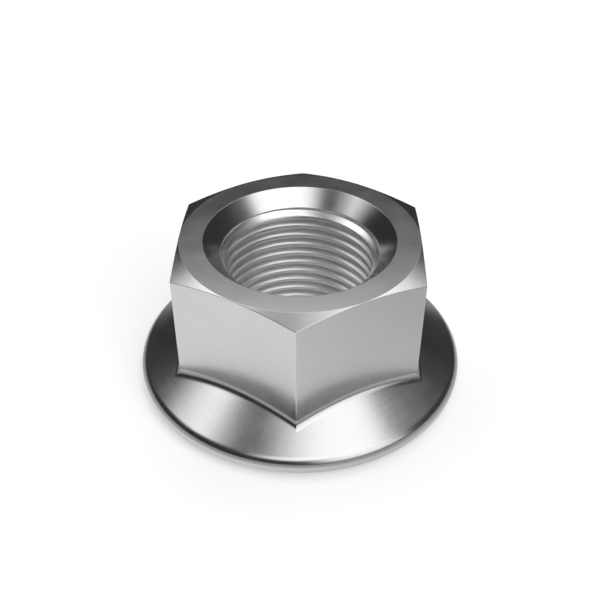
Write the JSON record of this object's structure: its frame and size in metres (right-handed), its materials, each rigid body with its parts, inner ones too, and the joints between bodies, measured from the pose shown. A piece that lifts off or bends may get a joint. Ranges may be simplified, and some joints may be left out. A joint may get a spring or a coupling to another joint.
{
  "type": "hex flange nut",
  "caption": "Hexagon nut with an integral conical flange, a rounded flange edge, a countersunk threaded through bore and a flat bearing face.",
  "frame": {"origin": "centre of the bearing face, on the axis of the thread", "axes": "+Z along the thread's axis, from the bearing face to the top face; two corners of the hexagon lie along Y"},
  "size_m": [0.0428, 0.0428, 0.02],
  "materials": {
    "flange_nut": "bare machined steel, satin, with a finely turned top face"
  },
  "bodies": {
    "root": {"flange_nut": "flange_nut"}
  },
  "joints": []
}
